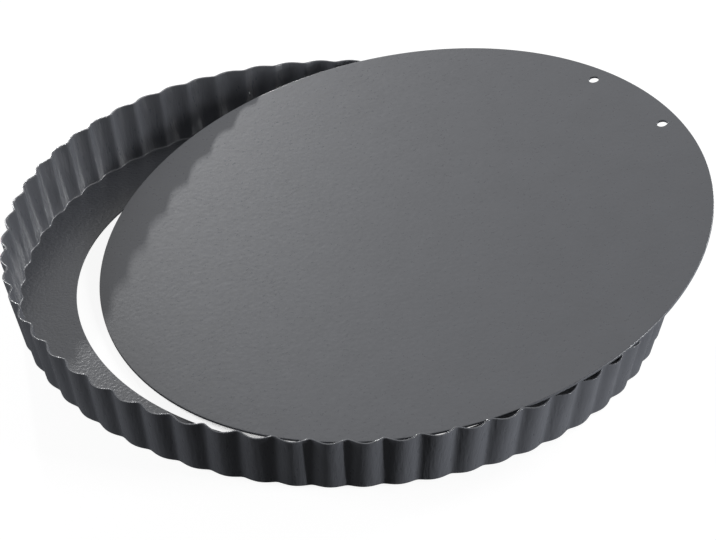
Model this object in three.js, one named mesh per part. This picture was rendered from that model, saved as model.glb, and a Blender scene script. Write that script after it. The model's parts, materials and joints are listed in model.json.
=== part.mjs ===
// Quiche pan in millimetres, +Z up: a fluted ring pressed from one sheet of coated steel,
// and a loose flat base that leans up out of it, its low edge in the ring's round opening.
import * as THREE from "three";

// Ring
const RIM_RADIUS = 140.4; // outer face at the creases between flutes, at the rim
const RING_HEIGHT = 26.8;
const FLARE = 4.9; // how far the creases lean out between foot and rim
const FLUTES = 62;
const FIRST_CREASE = THREE.MathUtils.degToRad(90.8);
const RIM_DEPTH = 2.45; // flute depth at the rim
const FOOT_DEPTH = 1.3; // flute depth at the foot
const RIM_DIP = 0.5; // drop of the cut edge at the middle of each flute
const FLUTE_POWER = 1.9; // 2 is a parabola, more is a flatter flute with steeper sides
const CREASE_EASING = 1.4; // reach of the rounding on each side of a crease
const SHEET = 0.8;
const FOLD_RADIUS = 1.4; // outside of the fold between wall and ledge
const LEDGE_WIDTH = 23.4; // from the round opening to the foot's creases

// Base
const BASE_SHEET = 1;
const BASE_CLEARANCE = 3.2; // from the seated base's edge to the fold around its seat
const HANG_HOLE_RADIUS = 2.2;
const HANG_HOLE_INSET = 7.5; // hole centre in from the base's edge
const HANG_HOLE_ANGLES = [2.6, 25.1]; // degrees from the base's high point

// How the base leans
const LEAN = THREE.MathUtils.degToRad(10.9);
const LEAN_HEADING = THREE.MathUtils.degToRad(19.4); // direction in which the base rises
const LOW_EDGE_INSET = 9.3; // low edge in from the round opening
const LOW_EDGE_ANGLE = THREE.MathUtils.degToRad(202.6);
const GAP = 0.3; // left between pieces, and between the base and the table

// Steps of the faceted surfaces
const STEPS_PER_FLUTE = 6;
const BASE_STEPS = 180;
const HOLE_STEPS = 24;
const SLIDE_STEP = 0.05;

// Sizes that follow from those above
const CREASE_EASE = (CREASE_EASING * FLUTES) / (Math.PI * RIM_RADIUS); // in half flutes
const FOOT_RADIUS = RIM_RADIUS - FLARE;
const OPENING_RADIUS = FOOT_RADIUS - LEDGE_WIDTH;
const SEAT_RADIUS = FOOT_RADIUS - FOLD_RADIUS;
const BASE_RADIUS = SEAT_RADIUS - BASE_CLEARANCE;

// Bulge of a flute at an angle: 0 at a crease, 1 at the middle.
function bulge(angle) {
  const turns = ((angle - FIRST_CREASE) * FLUTES) / (2 * Math.PI);
  const off = 1 - Math.abs(2 * (turns - Math.floor(turns)) - 1);
  const eased = (Math.hypot(off, CREASE_EASE) - CREASE_EASE) / (Math.hypot(1, CREASE_EASE) - CREASE_EASE);
  return 1 - (1 - eased) ** FLUTE_POWER;
}

// Outer face of the wall. The inner face is one sheet thickness inside it.
function wallRadius(angle, z) {
  const up = z / RING_HEIGHT;
  const depth = FOOT_DEPTH + (RIM_DEPTH - FOOT_DEPTH) * up;
  return FOOT_RADIUS + FLARE * up + depth * bulge(angle);
}

// Section of the ring at an angle as [radius, height] pairs, from under the opening's edge,
// out and up the outside, and back down the inside.
function ringSection(angle) {
  const top = RING_HEIGHT - RIM_DIP * bulge(angle);
  const seat = wallRadius(angle, 0) - FOLD_RADIUS;
  const slant = Math.SQRT1_2;
  const inner = FOLD_RADIUS - SHEET;
  return [
    [OPENING_RADIUS, 0],
    [seat, 0],
    [seat + FOLD_RADIUS * slant, FOLD_RADIUS * (1 - slant)],
    [wallRadius(angle, FOLD_RADIUS), FOLD_RADIUS],
    [wallRadius(angle, top), top],
    [wallRadius(angle, top) - SHEET, top],
    [wallRadius(angle, FOLD_RADIUS) - SHEET, FOLD_RADIUS],
    [seat + inner * slant, FOLD_RADIUS - inner * slant],
    [seat, SHEET],
    [OPENING_RADIUS, SHEET],
  ];
}

function makeRing() {
  const columns = FLUTES * STEPS_PER_FLUTE;
  const positions = [];
  const faces = [];
  for (let i = 0; i < columns; i += 1) {
    const angle = FIRST_CREASE + (2 * Math.PI * i) / columns;
    for (const [radius, height] of ringSection(angle)) {
      positions.push(radius * Math.cos(angle), radius * Math.sin(angle), height);
    }
  }
  const rows = positions.length / 3 / columns;
  for (let i = 0; i < columns; i += 1) {
    const next = (i + 1) % columns;
    for (let j = 0; j < rows; j += 1) {
      const above = (j + 1) % rows;
      const a = i * rows + j;
      const b = next * rows + j;
      const c = next * rows + above;
      const d = i * rows + above;
      faces.push(a, b, c, a, c, d);
    }
  }
  const geometry = new THREE.BufferGeometry();
  geometry.setAttribute("position", new THREE.Float32BufferAttribute(positions, 3));
  geometry.setIndex(faces);
  return geometry;
}

function circlePoints(radius, steps, x, y) {
  const points = [];
  for (let i = 0; i < steps; i += 1) {
    const angle = (2 * Math.PI * i) / steps;
    points.push(new THREE.Vector2(x + radius * Math.cos(angle), y + radius * Math.sin(angle)));
  }
  return points;
}

// Flat base in its own frame: +X to its high point, underside at height 0.
function makeBase() {
  const outline = new THREE.Shape(circlePoints(BASE_RADIUS, BASE_STEPS, 0, 0));
  for (const degrees of HANG_HOLE_ANGLES) {
    const angle = THREE.MathUtils.degToRad(degrees);
    const reach = BASE_RADIUS - HANG_HOLE_INSET;
    const x = reach * Math.cos(angle);
    const y = reach * Math.sin(angle);
    outline.holes.push(new THREE.Path(circlePoints(HANG_HOLE_RADIUS, HOLE_STEPS, x, y)));
  }
  return new THREE.ExtrudeGeometry(outline, { depth: BASE_SHEET, bevelEnabled: false });
}

// Placing of the leaning base, slid sideways along its low edge.
function leanMatrix(slide) {
  const heading = new THREE.Vector3(Math.cos(LEAN_HEADING), Math.sin(LEAN_HEADING), 0);
  const side = new THREE.Vector3(-heading.y, heading.x, 0);
  const rise = heading.clone().multiplyScalar(Math.cos(LEAN)).setZ(Math.sin(LEAN));
  const normal = new THREE.Vector3().crossVectors(rise, side);
  const reach = OPENING_RADIUS - LOW_EDGE_INSET;
  const low = new THREE.Vector3(Math.cos(LOW_EDGE_ANGLE), Math.sin(LOW_EDGE_ANGLE), 0);
  low.multiplyScalar(reach).setZ(GAP).addScaledVector(side, slide);
  const centre = low.addScaledVector(rise, BASE_RADIUS);
  return new THREE.Matrix4().makeBasis(rise, side, normal).setPosition(centre);
}

// True when an edge of the base, so placed, comes within the gap of the ledge or the wall.
function edgeMeetsRing(placing) {
  for (let i = 0; i < 4 * BASE_STEPS; i += 1) {
    const around = (2 * Math.PI * i) / (4 * BASE_STEPS);
    for (const height of [0, BASE_SHEET]) {
      const x = BASE_RADIUS * Math.cos(around);
      const y = BASE_RADIUS * Math.sin(around);
      const point = new THREE.Vector3(x, y, height).applyMatrix4(placing);
      const radius = Math.hypot(point.x, point.y);
      const wall = wallRadius(Math.atan2(point.y, point.x), point.z) - SHEET;
      if (point.z < SHEET + GAP && radius > OPENING_RADIUS - GAP) return true;
      if (point.z < RING_HEIGHT + GAP && radius > wall - GAP) return true;
    }
  }
  return false;
}

// The base slides along its low edge from inside the wall until it just clears the ring.
function placeBase() {
  let slide = -LOW_EDGE_INSET;
  while (edgeMeetsRing(leanMatrix(slide)) && slide < BASE_RADIUS) {
    slide += SLIDE_STEP;
  }
  return leanMatrix(slide);
}

const coat = { color: 0x55575b, metalness: 0.35, roughness: 0.42 };
const ring = new THREE.Mesh(makeRing(), new THREE.MeshStandardMaterial(coat));
ring.name = "fluted_ring";
const base = new THREE.Mesh(makeBase(), new THREE.MeshStandardMaterial(coat));
base.name = "loose_base";
base.applyMatrix4(placeBase());

// The origin is the middle of the whole object's box, at table height.
const pan = new THREE.Group();
pan.name = "quiche_pan";
pan.add(ring, base);
const box = new THREE.Box3().setFromObject(pan, true);
const middle = box.getCenter(new THREE.Vector3());
for (const mesh of pan.children) {
  mesh.position.sub(middle.setZ(box.min.z));
  mesh.geometry.computeVertexNormals();
}

export default pan;
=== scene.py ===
import json
import math

import bmesh
import bpy
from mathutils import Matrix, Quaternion, Vector


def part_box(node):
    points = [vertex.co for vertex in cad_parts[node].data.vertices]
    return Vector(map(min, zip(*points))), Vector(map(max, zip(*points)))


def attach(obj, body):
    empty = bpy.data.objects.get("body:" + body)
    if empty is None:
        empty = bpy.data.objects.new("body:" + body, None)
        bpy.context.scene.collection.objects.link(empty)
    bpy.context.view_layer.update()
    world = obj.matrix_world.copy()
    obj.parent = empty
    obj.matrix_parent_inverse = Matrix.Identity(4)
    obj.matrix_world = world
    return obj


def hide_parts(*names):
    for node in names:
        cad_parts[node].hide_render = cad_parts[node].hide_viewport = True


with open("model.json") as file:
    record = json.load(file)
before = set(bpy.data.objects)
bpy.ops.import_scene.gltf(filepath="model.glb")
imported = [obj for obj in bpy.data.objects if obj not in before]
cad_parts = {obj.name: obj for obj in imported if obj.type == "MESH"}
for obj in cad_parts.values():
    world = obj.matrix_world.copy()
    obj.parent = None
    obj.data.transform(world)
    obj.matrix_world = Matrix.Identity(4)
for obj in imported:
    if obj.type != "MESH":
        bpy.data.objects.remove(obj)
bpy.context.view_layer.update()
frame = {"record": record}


# Fluted ring
# The pan's wall: one sheet of thin steel, pressed into a flared wall of rounded flutes that
# meet in inward creases, cut off at the rim, and folded in at the foot to a flat ledge.
# It is sprayed all over with a dark non-stick coating and stands on the ledge's underside.
MM = 0.001
RIM_RADIUS = 140.4  # outer face at the creases between flutes, at the rim
RING_HEIGHT = 26.8
FLARE = 4.9  # how far the creases lean out between foot and rim
FLUTES = 62
FIRST_CREASE = math.radians(90.8)
RIM_DEPTH = 2.45  # flute depth at the rim
FOOT_DEPTH = 1.3  # flute depth at the foot
RIM_DIP = 0.5  # drop of the cut edge at the middle of each flute
FLUTE_POWER = 1.9  # 2 is a parabola, more is a flatter flute with steeper sides
CREASE_EASING = 1.4  # reach of the rounding on each side of a crease
SHEET = 0.8
FOLD_RADIUS = 1.4  # outside of the fold between wall and ledge
LEDGE_WIDTH = 23.4  # from the round opening to the foot's creases
CUT_ROUND = 0.12  # rounding that the coating leaves on a cut edge
CUT_SHOULDER = CUT_ROUND * (1 - math.sqrt(0.5))
FLAT_BESIDE = 2  # strip beside a rounding that keeps the face flat up to it, in radii of the rounding
CREASE_EASE = CREASE_EASING * FLUTES / (math.pi * RIM_RADIUS)  # in half flutes
FOOT_RADIUS = RIM_RADIUS - FLARE
OPENING_RADIUS = FOOT_RADIUS - LEDGE_WIDTH
STEPS_PER_FLUTE = 20
FOLD_STEPS = 6
RING_LOW, RING_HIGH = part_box("fluted_ring")
RING_CENTRE = (RING_LOW + RING_HIGH) / 2 / MM
COATING_COLOUR = "#505257"


def flute_bulge(angle):
    """0 at a crease between flutes and 1 at the middle of a flute."""
    turns = (angle - FIRST_CREASE) * FLUTES / (2 * math.pi)
    off = 1 - abs(2 * (turns - math.floor(turns)) - 1)
    eased = (math.hypot(off, CREASE_EASE) - CREASE_EASE) / (math.hypot(1, CREASE_EASE) - CREASE_EASE)
    return 1 - (1 - eased) ** FLUTE_POWER


def ring_section(bulge):
    """Radius and height round the cut sheet, out along its underside and back along its top."""
    top = RING_HEIGHT - RIM_DIP * bulge
    foot = FOOT_RADIUS + FOOT_DEPTH * bulge
    slope = (FLARE + (RIM_DEPTH - FOOT_DEPTH) * bulge) / RING_HEIGHT
    draft = math.atan(slope)
    inset = SHEET / math.cos(draft)
    fold_at = foot + FOLD_RADIUS * slope - FOLD_RADIUS / math.cos(draft)
    support = FLAT_BESIDE * CUT_ROUND

    def outer(height):
        return foot + slope * height

    def inner(height):
        return foot + slope * height - inset

    def fold(radius, share):
        turn = -math.pi / 2 + share * (math.pi / 2 - draft)
        return (fold_at + radius * math.cos(turn), FOLD_RADIUS + radius * math.sin(turn))

    section = [
        (OPENING_RADIUS, SHEET - CUT_ROUND),
        (OPENING_RADIUS, CUT_ROUND),
        (OPENING_RADIUS + CUT_SHOULDER, CUT_SHOULDER),
        (OPENING_RADIUS + CUT_ROUND, 0.0),
        (OPENING_RADIUS + CUT_ROUND + support, 0.0),
        (fold_at - support, 0.0),
    ]
    section += [fold(FOLD_RADIUS, i / FOLD_STEPS) for i in range(FOLD_STEPS + 1)]
    section += [
        (outer(FOLD_RADIUS + support), FOLD_RADIUS + support),
        (outer(top - CUT_ROUND - support), top - CUT_ROUND - support),
        (outer(top - CUT_ROUND), top - CUT_ROUND),
        (outer(top) - CUT_SHOULDER, top - CUT_SHOULDER),
        (outer(top) - CUT_ROUND, top),
        (inner(top) + CUT_ROUND, top),
        (inner(top) + CUT_SHOULDER, top - CUT_SHOULDER),
        (inner(top - CUT_ROUND), top - CUT_ROUND),
        (inner(top - CUT_ROUND - support), top - CUT_ROUND - support),
        (inner(FOLD_RADIUS + support), FOLD_RADIUS + support),
    ]
    section += [fold(FOLD_RADIUS - SHEET, 1 - i / FOLD_STEPS) for i in range(FOLD_STEPS + 1)]
    section += [
        (fold_at - support, SHEET),
        (OPENING_RADIUS + CUT_ROUND + support, SHEET),
        (OPENING_RADIUS + CUT_ROUND, SHEET),
        (OPENING_RADIUS + CUT_SHOULDER, SHEET - CUT_SHOULDER),
    ]
    return section


def smooth_mesh(name, corners, faces):
    """A smooth-shaded object, from corners in millimetres."""
    mesh = bpy.data.meshes.new(name)
    mesh.from_pydata([Vector(corner) * MM for corner in corners], [], faces)
    mesh.polygons.foreach_set("use_smooth", [True] * len(mesh.polygons))
    mesh.update()
    piece = bpy.data.objects.new(name, mesh)
    bpy.context.scene.collection.objects.link(piece)
    return piece


ring_corners = []
ring_columns = FLUTES * STEPS_PER_FLUTE
for column in range(ring_columns):
    angle = FIRST_CREASE + 2 * math.pi * column / ring_columns
    for radius, height in ring_section(flute_bulge(angle)):
        x = RING_CENTRE.x + radius * math.cos(angle)
        y = RING_CENTRE.y + radius * math.sin(angle)
        ring_corners.append((x, y, height))
ring_rows = len(ring_corners) // ring_columns
ring_faces = []
for column in range(ring_columns):
    here = column * ring_rows
    beside = (column + 1) % ring_columns * ring_rows
    for row in range(ring_rows):
        above = (row + 1) % ring_rows
        ring_faces.append((here + row, beside + row, beside + above, here + above))
ring = smooth_mesh("ring_sheet", ring_corners, ring_faces)


def linear(hex_colour):
    """A colour written as sRGB hex, as the linear values that a shader takes."""
    channels = [int(hex_colour[i:i + 2], 16) / 255 for i in (1, 3, 5)]
    return [c / 12.92 if c <= 0.04045 else ((c + 0.055) / 1.055) ** 2.4 for c in channels] + [1.0]


def add_node(tree, kind, settings=None, **links):
    """Adds a node, sets its properties or inputs by name, and links other nodes' outputs to its inputs."""
    node = tree.nodes.new(kind)
    for name, value in (settings or {}).items():
        if name in node.inputs:
            node.inputs[name].default_value = value
        else:
            setattr(node, name, value)
    for name, output in links.items():
        tree.links.new(output, node.inputs[name.replace("_", " ")])
    return node


# PTFE non-stick coating, sprayed on steel and baked. It is a dark grey film with a soft gloss,
# whose surface keeps the fine orange peel of the spray. Where the sheet was drawn through the
# press, upright draw marks under the film make the gloss a little streaky. The peel and the marks
# are drawn wider and deeper than the real ones, which are too fine to show at this distance.
PEEL_SIZE = 2.0
CLOUD_SIZE = 14.0  # of the film's faint drift in colour
CLOUD_STRENGTH = 0.04
DRAW_MARK_WIDTH = 1.6
DRAW_MARK_LENGTH = 24.0
NOISE_LOW = 0.3  # most values of a noise lie between these two
NOISE_HIGH = 0.7
GLOSSY_ROUGHNESS = 0.27
DULL_ROUGHNESS = 0.32
PTFE_FILM_IOR = 1.45


def sprayed_coating(name, colour, peel_depth, mark_depth):
    """The coating, with the depths of its peel and of the draw marks in millimetres."""
    material = bpy.data.materials.new(name)
    material.use_nodes = True
    tree = material.node_tree
    tree.nodes.clear()
    place = add_node(tree, "ShaderNodeTexCoord").outputs["Object"]
    peel = add_node(
        tree, "ShaderNodeTexNoise",
        {"Scale": 1 / (PEEL_SIZE * MM), "Detail": 1.0, "Roughness": 0.5}, Vector=place)
    cloud = add_node(
        tree, "ShaderNodeTexNoise",
        {"Scale": 1 / (CLOUD_SIZE * MM), "Detail": 2.0, "Roughness": 0.5}, Vector=place)
    upright = add_node(
        tree, "ShaderNodeMapping", {"Scale": (1.0, 1.0, DRAW_MARK_WIDTH / DRAW_MARK_LENGTH)}, Vector=place)
    marks = add_node(
        tree, "ShaderNodeTexNoise",
        {"Scale": 1 / (DRAW_MARK_WIDTH * MM), "Detail": 2.0, "Roughness": 0.6},
        Vector=upright.outputs["Vector"])
    tint = add_node(tree, "ShaderNodeValToRGB", Fac=cloud.outputs["Fac"])
    stops = ((NOISE_LOW, 1 - CLOUD_STRENGTH), (NOISE_HIGH, 1 + CLOUD_STRENGTH))
    for stop, (position, shade) in zip(tint.color_ramp.elements, stops):
        stop.position = position
        stop.color = [c * shade for c in linear(colour)[:3]] + [1.0]
    gloss = add_node(
        tree, "ShaderNodeMapRange",
        {"From Min": NOISE_LOW, "From Max": NOISE_HIGH,
         "To Min": GLOSSY_ROUGHNESS, "To Max": DULL_ROUGHNESS}, Value=marks.outputs["Fac"])
    drawn = add_node(
        tree, "ShaderNodeBump", {"Strength": 1.0, "Distance": mark_depth * MM}, Height=marks.outputs["Fac"])
    peeling = add_node(
        tree, "ShaderNodeBump", {"Strength": 1.0, "Distance": peel_depth * MM},
        Height=peel.outputs["Fac"], Normal=drawn.outputs["Normal"])
    film = add_node(
        tree, "ShaderNodeBsdfPrincipled", {"IOR": PTFE_FILM_IOR, "Metallic": 0.0},
        Base_Color=tint.outputs["Color"], Roughness=gloss.outputs["Result"],
        Normal=peeling.outputs["Normal"])
    add_node(tree, "ShaderNodeOutputMaterial", Surface=film.outputs["BSDF"])
    return material


ring_coating = sprayed_coating("ring_ptfe_coating", COATING_COLOUR, peel_depth=0.03, mark_depth=0.18)
ring.data.materials.append(ring_coating)
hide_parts("fluted_ring")
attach(ring, "ring")


# Loose base
# A flat disc punched from the same coated steel sheet, with two small round holes near one
# edge to hang it up by. It is not fastened: it leans up out of the ring, its low edge on the
# table inside the ledge's opening.
BASE_CLEARANCE = 3.2  # from the seated base's edge to the fold around its seat
BASE_RADIUS = FOOT_RADIUS - FOLD_RADIUS - BASE_CLEARANCE
BASE_SHEET = 1.0
DIE_ROLL = 0.2  # rounding that the punch leaves on the upper edge
DIE_ROLL_STEPS = 5
HANG_HOLE_RADIUS = 2.2
HANG_HOLE_INSET = 7.5  # hole centre in from the base's edge
HANG_HOLE_REACH = BASE_RADIUS - HANG_HOLE_INSET
HANG_HOLE_ANGLES = (math.radians(2.6), math.radians(25.1))
LEAN = math.radians(10.9)
LEAN_HEADING = math.radians(19.4)
LOW_EDGE = Vector(frame["record"]["behaviour"]["joints"][0]["pos_m"]) / MM  # the hinge lies there
BASE_STEPS = 360
HOLE_STEPS = 40
heading = Vector((math.cos(LEAN_HEADING), math.sin(LEAN_HEADING), 0))
base_side = Vector((-heading.y, heading.x, 0))
base_rise = heading * math.cos(LEAN) + Vector((0, 0, math.sin(LEAN)))
base_normal = base_rise.cross(base_side)
base_centre = LOW_EDGE + base_rise * BASE_RADIUS


def punched_edge(radius, outward):
    """Section of a punched edge of the base, from its flat top round to its flat underside."""
    steps = [(DIE_ROLL * (1 + FLAT_BESIDE), BASE_SHEET)]
    for step in range(DIE_ROLL_STEPS + 1):
        turn = math.pi / 2 * (1 - step / DIE_ROLL_STEPS)
        over = DIE_ROLL * (1 - math.cos(turn))
        down = DIE_ROLL * (1 - math.sin(turn))
        steps.append((over, BASE_SHEET - down))
    steps += [
        (0.0, CUT_ROUND),
        (CUT_SHOULDER, CUT_SHOULDER),
        (CUT_ROUND, 0.0),
        (CUT_ROUND * (1 + FLAT_BESIDE), 0.0),
    ]
    return [(radius - outward * inset, height) for inset, height in steps]


base_corners = []
base_faces = []
top_loops = []
under_loops = []
cuts = [(0.0, 0.0, BASE_RADIUS, 1, BASE_STEPS)]
for hole_angle in HANG_HOLE_ANGLES:
    hole_x = HANG_HOLE_REACH * math.cos(hole_angle)
    hole_y = HANG_HOLE_REACH * math.sin(hole_angle)
    cuts.append((hole_x, hole_y, HANG_HOLE_RADIUS, -1, HOLE_STEPS))
for cut_x, cut_y, cut_radius, outward, cut_steps in cuts:
    edge = punched_edge(cut_radius, outward)
    first = len(base_corners)
    for step in range(cut_steps):
        turn = outward * 2 * math.pi * step / cut_steps
        for radius, height in edge:
            along = cut_x + radius * math.cos(turn)
            across = cut_y + radius * math.sin(turn)
            base_corners.append(base_centre + base_rise * along + base_side * across + base_normal * height)
    for step in range(cut_steps):
        here = first + step * len(edge)
        beside = first + (step + 1) % cut_steps * len(edge)
        for row in range(len(edge) - 1):
            base_faces.append((here + row, here + row + 1, beside + row + 1, beside + row))
    top_loops.append([first + step * len(edge) for step in range(cut_steps)])
    under_loops.append([first + (step + 1) * len(edge) - 1 for step in range(cut_steps)])
base = smooth_mesh("base_sheet", base_corners, base_faces)

# The flat faces are filled in between the base's edge and the edges of its holes.
skin = bmesh.new()
skin.from_mesh(base.data)
skin.verts.ensure_lookup_table()
for loops, up in ((top_loops, 1), (under_loops, -1)):
    rims = []
    for loop in loops:
        for here, beside in zip(loop, loop[1:] + loop[:1]):
            rims.append(skin.edges.get((skin.verts[here], skin.verts[beside])))
    filled = bmesh.ops.triangle_fill(skin, edges=rims, use_beauty=True, normal=base_normal * up)
    for face in filled["geom"]:
        if isinstance(face, bmesh.types.BMFace):
            face.smooth = True
bmesh.ops.recalc_face_normals(skin, faces=skin.faces)
skin.to_mesh(base.data)
skin.free()
base_coating = sprayed_coating("base_ptfe_coating", COATING_COLOUR, peel_depth=0.04, mark_depth=0.0)
base.data.materials.append(base_coating)
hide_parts("loose_base")
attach(base, "base")


# Table
# A plain white table top that runs on into a white backdrop. It keeps a faint shadow of the pan
# and throws little light back up. Its glow is cut where something near covers it, which is
# painted shade in the closed space under the base.
TABLE_SIZE = 6000.0
TABLE_COLOUR = "#7C7C7C"
TABLE_GLOW = 0.89  # added to the light that the paint throws back, which makes it white to the camera
# glow left in the painted shade under the base
PAINTED_SHADE_GLOW = 0.02
COVER_REACH = 60.0  # how near something has to be to cover the table
OPEN_SHARE = 0.03  # share of free sky above which the table counts as open
BOUNCE_COLOUR = "#5A5A5A"
WHITE = "#FFFFFF"
half = TABLE_SIZE / 2
table_corners = [(-half, -half, 0), (half, -half, 0), (half, half, 0), (-half, half, 0)]
table = smooth_mesh("table_top", table_corners, [(0, 1, 2, 3)])
table_paint = bpy.data.materials.new("white_table_paint")
table_paint.use_nodes = True
tree = table_paint.node_tree
tree.nodes.clear()
rays = add_node(tree, "ShaderNodeLightPath")
# painted shade: the glow drops to a dark level where something near covers the table, as under the base
cover = add_node(tree, "ShaderNodeAmbientOcclusion", {"samples": 16, "Distance": COVER_REACH * MM})
openness = add_node(
    tree, "ShaderNodeMapRange",
    {"From Min": 0.0, "From Max": OPEN_SHARE, "To Min": PAINTED_SHADE_GLOW, "To Max": TABLE_GLOW},
    Value=cover.outputs["AO"])
paint = add_node(tree, "ShaderNodeBsdfDiffuse", {"Color": linear(TABLE_COLOUR)})
glow = add_node(tree, "ShaderNodeEmission", {"Color": linear(WHITE)}, Strength=openness.outputs["Result"])
lit = add_node(tree, "ShaderNodeAddShader")
tree.links.new(paint.outputs["BSDF"], lit.inputs[0])
tree.links.new(glow.outputs["Emission"], lit.inputs[1])
dull = add_node(tree, "ShaderNodeBsdfDiffuse", {"Color": linear(BOUNCE_COLOUR)})
either = add_node(tree, "ShaderNodeMixShader", Fac=rays.outputs["Is Camera Ray"])
tree.links.new(dull.outputs["BSDF"], either.inputs[1])
tree.links.new(lit.outputs["Shader"], either.inputs[2])
add_node(tree, "ShaderNodeOutputMaterial", Surface=either.outputs["Shader"])
table.data.materials.append(table_paint)


# Studio
# A white room. A small hard lamp low behind the pan to the left lays its sheen along the base's
# low side, where the rim's flutes cut its light. Soft boxes to the right, left and back light the
# ring, and a small card low at the right grazes the flutes of its front.
ROOM_LIGHT = 0.15
ROOM_WHITE = 1.0  # as the camera and the coating's gloss see the room
world = bpy.data.worlds.new("white_studio")
bpy.context.scene.world = world
world.use_nodes = True
tree = world.node_tree
tree.nodes.clear()
rays = add_node(tree, "ShaderNodeLightPath")
seen = add_node(tree, "ShaderNodeMath", {"operation": "MAXIMUM"})
tree.links.new(rays.outputs["Is Camera Ray"], seen.inputs[0])
tree.links.new(rays.outputs["Is Glossy Ray"], seen.inputs[1])
room = add_node(tree, "ShaderNodeBackground", {"Color": linear(WHITE), "Strength": ROOM_LIGHT})
white = add_node(tree, "ShaderNodeBackground", {"Color": linear(WHITE), "Strength": ROOM_WHITE})
either = add_node(tree, "ShaderNodeMixShader", Fac=seen.outputs["Value"])
tree.links.new(room.outputs["Background"], either.inputs[1])
tree.links.new(white.outputs["Background"], either.inputs[2])
add_node(tree, "ShaderNodeOutputWorld", Surface=either.outputs["Shader"])

# Each lamp: name, place in metres, side length in metres, brightness where 1 is white, and
# whether the coating's gloss mirrors it.
LAMPS = (
    ("back_left_lamp", (-0.56, 1.86, 0.49), 0.05, 2460.0, True),
    ("back_box", (-0.36, 1.0, 1.06), 1.2, 0.2, True),
    ("right_box", (1.06, 0.82, 0.41), 0.5, 20.5, True),
    ("front_right_box", (1.19, -0.32, 0.4), 0.4, 16.5, True),
    ("low_right_card", (1.48, -0.43, 0.03), 0.05, 2900.0, True),
    ("left_box", (-1.35, -0.1, 0.36), 0.8, 8.5, False),
)
for lamp_name, place, width, brightness, mirrored in LAMPS:
    light = bpy.data.lights.new(lamp_name, "AREA")
    light.shape = "SQUARE"
    light.size = width
    light.energy = brightness * math.pi * width * width
    lamp = bpy.data.objects.new(lamp_name, light)
    lamp.location = place
    lamp.rotation_euler = (-Vector(place)).to_track_quat("-Z", "Y").to_euler()
    lamp.visible_camera = False
    lamp.visible_glossy = mirrored
    bpy.context.scene.collection.objects.link(lamp)

# The camera looks down at the pan from the front with a long lens, held a little askew.
CAMERA_AT = Vector((-6.2, -1017.3, 717.5)) * MM
CAMERA_AIM = Vector((1.13, 11.05, 0.0)) * MM
CAMERA_ROLL = math.radians(-0.23)
LENS_LENGTH = 147.1
SENSOR_WIDTH = 36.0
camera_data = bpy.data.cameras.new("camera")
camera_data.lens = LENS_LENGTH
camera_data.sensor_width = SENSOR_WIDTH
camera = bpy.data.objects.new("camera", camera_data)
camera.location = CAMERA_AT
look = (CAMERA_AIM - CAMERA_AT).to_track_quat("-Z", "Y")
camera.rotation_euler = (look @ Quaternion((0, 0, 1), CAMERA_ROLL)).to_euler()
bpy.context.scene.collection.objects.link(camera)
bpy.context.scene.camera = camera
bpy.context.scene.view_settings.view_transform = "Standard"
